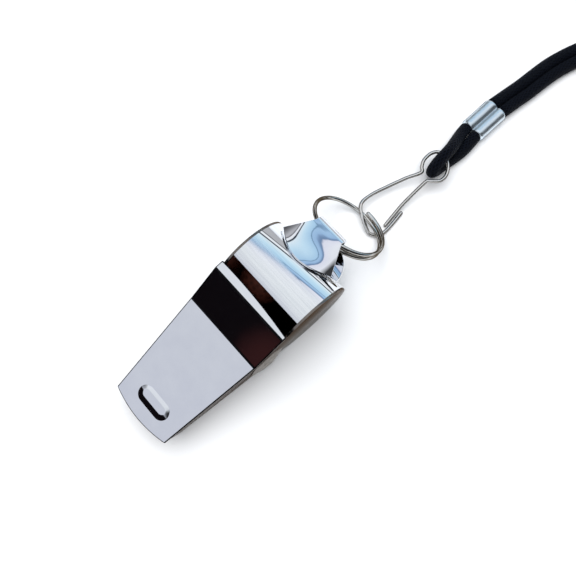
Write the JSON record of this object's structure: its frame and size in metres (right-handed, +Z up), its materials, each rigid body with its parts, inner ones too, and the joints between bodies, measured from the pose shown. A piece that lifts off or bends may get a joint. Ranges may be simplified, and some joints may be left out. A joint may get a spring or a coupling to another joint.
{
  "type": "pea whistle with lanyard",
  "caption": "Pressed steel pea whistle with a folded hanger strap, split ring, sprung wire hook and a neck cord held in a crimp.",
  "frame": {"origin": "on the supporting surface, under the middle of the whistle with its ring and hook", "axes": "+X from the mouthpiece to the split ring, +Y to the whistle's left side, +Z up"},
  "size_m": [0.2033, 0.0272, 0.0184],
  "materials": {
    "mirror_steel": "mirror polished nickel-plated sheet",
    "brushed_steel": "plated, with fine lines across the barrel",
    "solder": "dull solder",
    "spring_wire": "bright wire",
    "crimp_metal": "satin plated",
    "cork": "reddish-brown cork",
    "cord": "black woven cord",
    "tie": "matte black band"
  },
  "bodies": {
    "whistle": {"mouthpiece_shell": "mirror_steel", "mouthpiece_base_plate": "mirror_steel", "windway_tongue": "mirror_steel", "barrel_band": "brushed_steel", "left_cheek": "mirror_steel", "right_cheek": "mirror_steel", "left_solder_bead": "solder", "right_solder_bead": "solder", "hanger_strap": "mirror_steel"},
    "pea": {"pea": "cork"},
    "ring": {"split_ring": "spring_wire"},
    "hook": {"hook_wire": "spring_wire"},
    "latch": {"hook_latch": "spring_wire"},
    "lanyard": {"crimp_ferrule": "crimp_metal", "cord_bight": "cord", "cord_right_strand": "cord", "cord_left_strand": "cord", "cord_hank": "cord", "hank_tie": "tie"}
  },
  "joints": [
    {"name": "pea_orbit", "type": "hinge", "parent": "whistle", "child": "pea", "pos_m": [-0.00382, 0, 0.0092], "axis": [0, 1, 0], "continuous": true},
    {"name": "ring_swing", "type": "hinge", "parent": "whistle", "child": "ring", "pos_m": [0.01012, 0.0005, 0.01243], "axis": [0, 1, 0], "range_deg": [-120, 45]},
    {"name": "hook_swing", "type": "hinge", "parent": "ring", "child": "hook", "pos_m": [0.0215, -0.0005, 0.0012], "axis": [0, 1, 0], "range_deg": [-40, 20]},
    {"name": "latch_press", "type": "hinge", "parent": "hook", "child": "latch", "pos_m": [0.03628, -0.0033, 0.0028], "axis": [0, 0, -1], "range_deg": [0, 9], "stiffness_Nm_per_rad": 0.02, "springref_deg": -2.86},
    {"name": "lanyard_swing", "type": "hinge", "parent": "hook", "child": "lanyard", "pos_m": [0.04278, -0.0017, 0.0033], "axis": [0, 1, 0], "range_deg": [-30, 20]}
  ]
}
